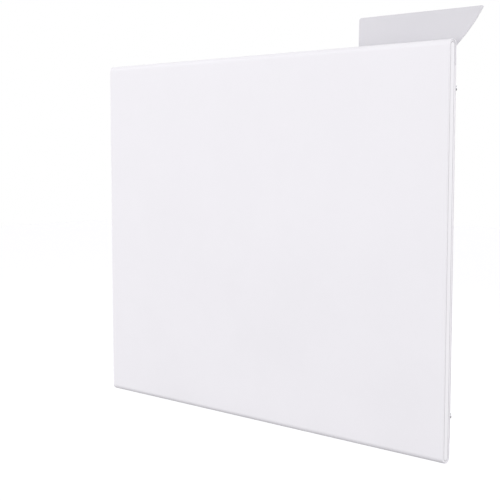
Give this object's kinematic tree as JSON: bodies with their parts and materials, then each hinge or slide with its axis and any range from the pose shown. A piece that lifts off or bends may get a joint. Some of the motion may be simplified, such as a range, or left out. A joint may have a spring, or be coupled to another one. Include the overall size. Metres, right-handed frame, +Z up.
{
  "type": "electric panel heater",
  "caption": "Slim wall-hung electric panel heater with a flat steel front, slotted grilles, a control pod under a hinged lid and a rocker switch in its slanted end.",
  "frame": {"origin": "on the wall plane, in the middle of the wall bracket", "axes": "+X along the heater to the right seen from the front, +Y into the wall, +Z up"},
  "size_m": [0.52, 0.08, 0.4688],
  "materials": {
    "white_steel": "satin",
    "white_plastic": "satin",
    "fascia_plastic": "satin",
    "key_plastic": "satin",
    "ivory_plastic": "satin",
    "dark_plastic": "satin",
    "display_window": "gloss",
    "blue_lens": "gloss",
    "zinc_steel": "satin",
    "bare_aluminium": "satin",
    "ceramic": "satin",
    "circuit_board": "satin"
  },
  "bodies": {
    "heater": {"front_panel": "white_steel", "end_cap_right": "white_plastic", "end_cap_left": "white_plastic", "side_housing_right": "white_plastic", "side_housing_left": "white_plastic", "rear_cover": "white_steel", "outlet_grille": "white_steel", "intake_grille": "white_steel", "control_fascia": "fascia_plastic", "lamp_1": "blue_lens", "lamp_2": "blue_lens", "lamp_3": "blue_lens", "lamp_4": "blue_lens", "lamp_5": "blue_lens", "lamp_6": "blue_lens", "display_glass": "display_window", "display_module": "dark_plastic", "control_board": "circuit_board", "lid_hinge_rod": "zinc_steel", "switch_body": "ivory_plastic", "heating_element": "bare_aluminium", "element_insulator_right": "ceramic", "element_insulator_left": "ceramic", "element_bracket_right": "zinc_steel", "element_bracket_left": "zinc_steel", "heat_shield": "bare_aluminium", "thermal_cutout": "dark_plastic", "control_baffle": "zinc_steel", "power_board": "circuit_board", "relay": "dark_plastic", "transformer": "dark_plastic", "terminal_block": "ivory_plastic", "temperature_probe": "zinc_steel", "cable_gland": "dark_plastic", "wall_bracket": "zinc_steel", "rear_screw_left_lower": "zinc_steel", "rear_screw_left_middle": "zinc_steel", "rear_screw_left_upper": "zinc_steel", "rear_screw_right_lower": "zinc_steel", "rear_screw_right_middle": "zinc_steel", "rear_screw_right_upper": "zinc_steel", "side_screw_left_upper": "zinc_steel", "side_screw_left_lower": "zinc_steel", "side_screw_right_upper": "zinc_steel", "side_screw_right_lower": "zinc_steel"},
    "lid": {"control_lid": "white_plastic"},
    "rocker": {"switch_rocker": "ivory_plastic"},
    "power_key": {"button_power": "key_plastic"},
    "minus_key": {"button_minus": "key_plastic"},
    "plus_key": {"button_plus": "key_plastic"},
    "pause_key": {"button_pause": "key_plastic"},
    "mode_key": {"button_mode": "key_plastic"},
    "timer_key": {"button_timer": "key_plastic"}
  },
  "joints": [
    {"name": "lid_hinge", "type": "hinge", "parent": "heater", "child": "lid", "pos_m": [0, -0.0187, 0.2059], "axis": [1, 0, 0], "range_deg": [0, 91.5]},
    {"name": "rocker_tilt", "type": "hinge", "parent": "heater", "child": "rocker", "pos_m": [0.22397, -0.0419, 0.149], "axis": [0, 1, 0], "range_deg": [0, 18]},
    {"name": "power_press", "type": "slide", "parent": "heater", "child": "power_key", "axis": [0, 0, -1], "range_m": [0, 0.0006], "stiffness_N_per_m": 1500, "springref_m": -0.0004},
    {"name": "minus_press", "type": "slide", "parent": "heater", "child": "minus_key", "axis": [0, 0, -1], "range_m": [0, 0.0006], "stiffness_N_per_m": 1500, "springref_m": -0.0004},
    {"name": "plus_press", "type": "slide", "parent": "heater", "child": "plus_key", "axis": [0, 0, -1], "range_m": [0, 0.0006], "stiffness_N_per_m": 1500, "springref_m": -0.0004},
    {"name": "pause_press", "type": "slide", "parent": "heater", "child": "pause_key", "axis": [0, 0, -1], "range_m": [0, 0.0006], "stiffness_N_per_m": 1500, "springref_m": -0.0004},
    {"name": "mode_press", "type": "slide", "parent": "heater", "child": "mode_key", "axis": [0, 0, -1], "range_m": [0, 0.0006], "stiffness_N_per_m": 1500, "springref_m": -0.0004},
    {"name": "timer_press", "type": "slide", "parent": "heater", "child": "timer_key", "axis": [0, 0, -1], "range_m": [0, 0.0006], "stiffness_N_per_m": 1500, "springref_m": -0.0004}
  ]
}
